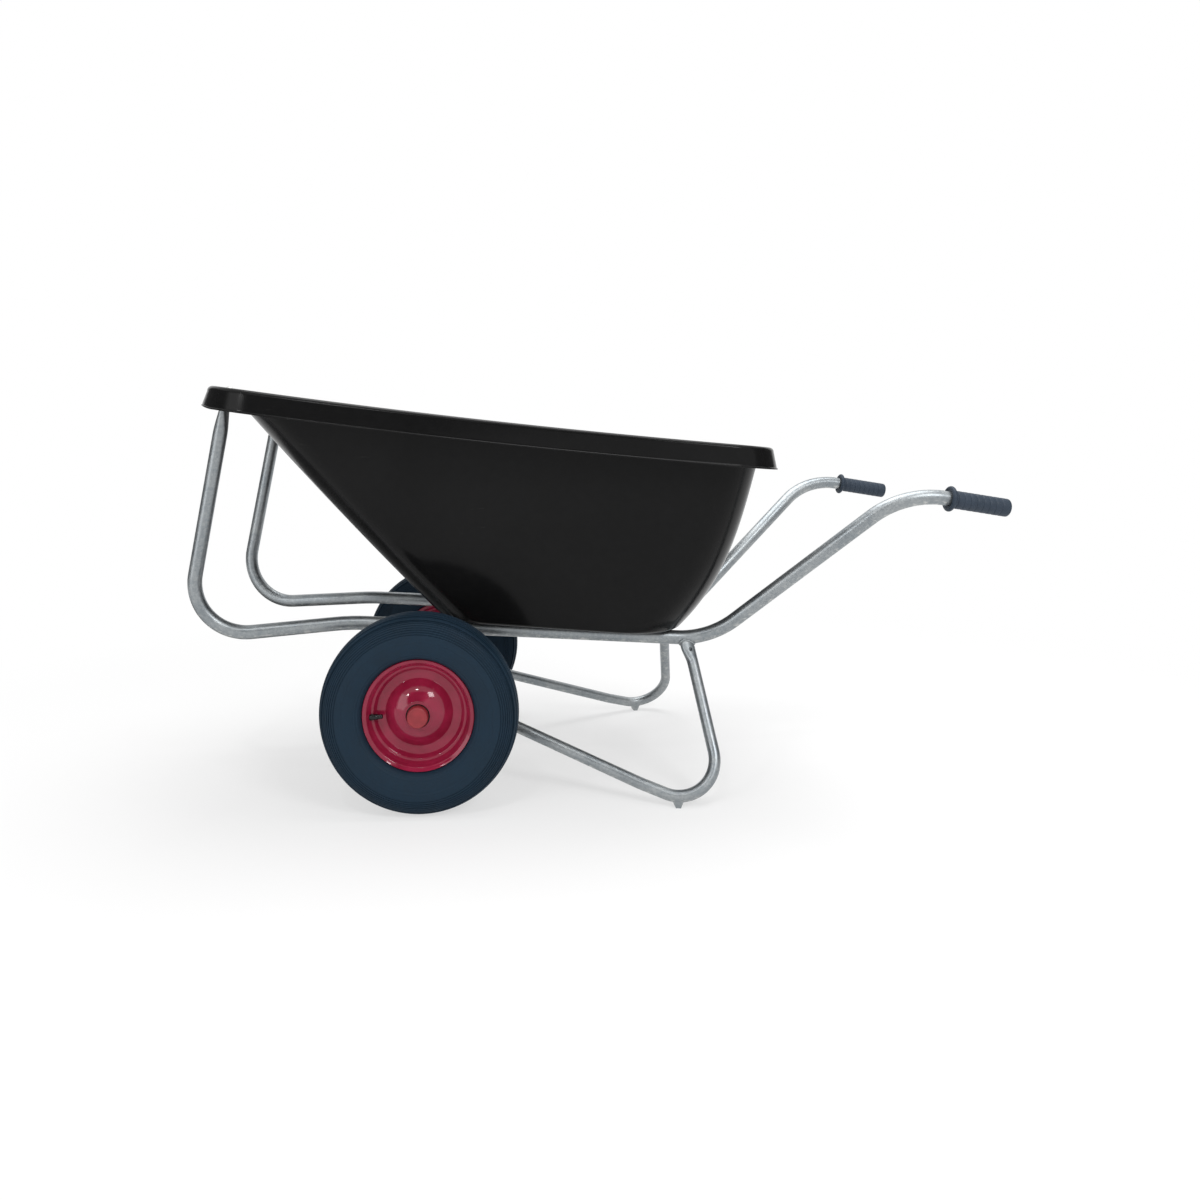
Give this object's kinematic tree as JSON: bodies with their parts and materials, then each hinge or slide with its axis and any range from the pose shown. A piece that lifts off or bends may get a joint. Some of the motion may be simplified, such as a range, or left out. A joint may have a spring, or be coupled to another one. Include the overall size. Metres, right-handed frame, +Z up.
{
  "type": "two wheel wheelbarrow",
  "caption": "Garden wheelbarrow with a deep moulded tray on a bent galvanised tube frame, carried on a pair of pneumatic wheels and splayed legs with long handles.",
  "frame": {"origin": "on the floor below the middle of the part's box", "axes": "+X toward the handles, +Y to the right of the person who holds them, +Z up"},
  "size_m": [1.6932, 0.7274, 0.8707],
  "materials": {
    "tray_plastic": "black moulded polyethylene with a soft sheen",
    "galvanised_steel": "hot dip galvanised",
    "grip_plastic": "dark blue grey ribbed plastic",
    "tyre_rubber": "blue black rubber",
    "tube_rubber": "black butyl",
    "rim_paint": "glossy dark red paint",
    "cap_plastic": "red plastic",
    "bush_plastic": "black nylon",
    "valve_rubber": "black rubber",
    "fastener_steel": "zinc plated"
  },
  "bodies": {
    "frame": {"tray": "tray_plastic", "left_side_tube": "galvanised_steel", "right_side_tube": "galvanised_steel", "left_grip": "grip_plastic", "right_grip": "grip_plastic", "left_lip_plate": "galvanised_steel", "right_lip_plate": "galvanised_steel", "left_leg": "galvanised_steel", "right_leg": "galvanised_steel", "left_foot": "galvanised_steel", "right_foot": "galvanised_steel", "left_hanger": "galvanised_steel", "right_hanger": "galvanised_steel", "front_cross_strap": "galvanised_steel", "rear_cross_strap": "galvanised_steel", "axle": "galvanised_steel", "axle_sleeve": "galvanised_steel", "left_axle_spacer": "galvanised_steel", "right_axle_spacer": "galvanised_steel", "axle_washers": "fastener_steel", "split_pins": "fastener_steel", "left_axle_cap": "cap_plastic", "right_axle_cap": "cap_plastic", "tray_bolts": "fastener_steel", "tray_washers": "fastener_steel", "tray_nuts": "fastener_steel", "lip_bolts": "fastener_steel", "lip_washers": "fastener_steel", "lip_nuts": "fastener_steel"},
    "left_wheel": {"left_tyre": "tyre_rubber", "left_inner_tube": "tube_rubber", "left_rim_outer": "rim_paint", "left_rim_inner": "rim_paint", "left_hub": "rim_paint", "left_bearings": "bush_plastic", "left_valve": "valve_rubber"},
    "right_wheel": {"right_tyre": "tyre_rubber", "right_inner_tube": "tube_rubber", "right_rim_outer": "rim_paint", "right_rim_inner": "rim_paint", "right_hub": "rim_paint", "right_bearings": "bush_plastic", "right_valve": "valve_rubber"}
  },
  "joints": [
    {"name": "left_wheel_spin", "type": "hinge", "parent": "frame", "child": "left_wheel", "pos_m": [-0.35094, -0.307, 0.2], "axis": [0, 1, 0], "continuous": true},
    {"name": "right_wheel_spin", "type": "hinge", "parent": "frame", "child": "right_wheel", "pos_m": [-0.35094, 0.307, 0.2], "axis": [0, 1, 0], "continuous": true}
  ]
}
